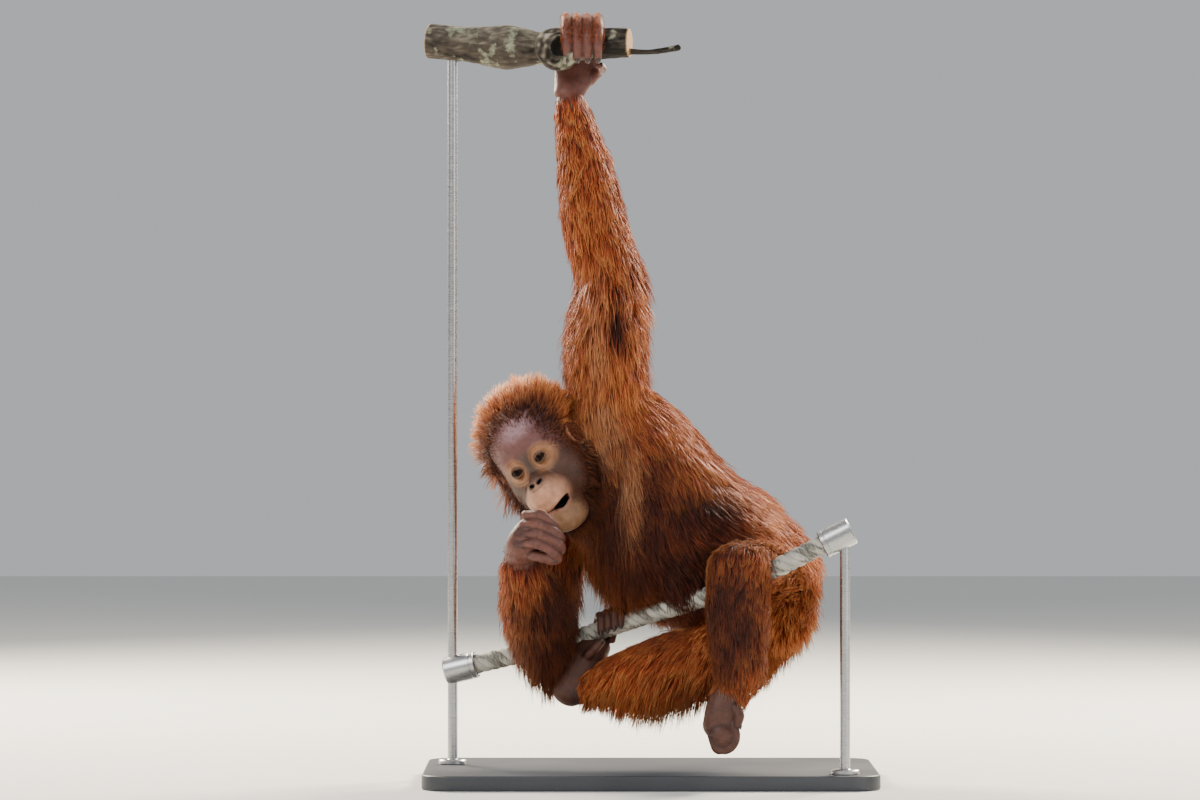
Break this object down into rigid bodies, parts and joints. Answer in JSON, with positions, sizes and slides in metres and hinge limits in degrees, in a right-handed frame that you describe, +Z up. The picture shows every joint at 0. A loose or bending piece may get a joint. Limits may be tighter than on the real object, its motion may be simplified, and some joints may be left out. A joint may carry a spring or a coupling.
{
  "type": "orangutan",
  "caption": "Life-size young orangutan hanging from a branch by a raised hand, a knee hooked over a rope and a fist at its mouth, on a flat base with plain rods.",
  "frame": {"origin": "middle of the base's underside, on the floor", "axes": "+Z up, +X to the viewer's right in the picture, +Y away from the viewer. Left and right in node names are the animal's own"},
  "size_m": [0.544, 0.3291, 0.9201],
  "materials": {
    "coat": "long orange-red hair in overlapping locks",
    "dark_coat": "darker maroon-brown hair in overlapping locks",
    "bare_skin": "bare dark brown skin, finely creased",
    "ear_skin": "bare warm brown skin",
    "eye": "wet gloss, very dark brown iris",
    "bark": "rough grey bark",
    "rope_fibre": "weathered grey-green twisted rope",
    "steel": "plain brushed rod",
    "plinth": "dark matt paint on a wooden board"
  },
  "bodies": {
    "root": {"stand_base": "plinth", "perch_branch": "bark", "perch_rope": "rope_fibre", "stand_rod_tall": "steel", "stand_rod_short": "steel", "eye_left": "eye", "eye_right": "eye", "hand_left": "bare_skin", "hand_right": "bare_skin", "foot_left": "bare_skin", "foot_right": "bare_skin", "ear_left": "ear_skin", "ear_right": "ear_skin", "head": "dark_coat", "torso": "coat", "neck": "coat", "forearm_left": "coat", "upper_arm_left": "coat", "forearm_right": "coat", "upper_arm_right": "coat", "shin_left": "dark_coat", "thigh_left": "dark_coat", "shin_right": "coat", "thigh_right": "coat"}
  },
  "joints": []
}
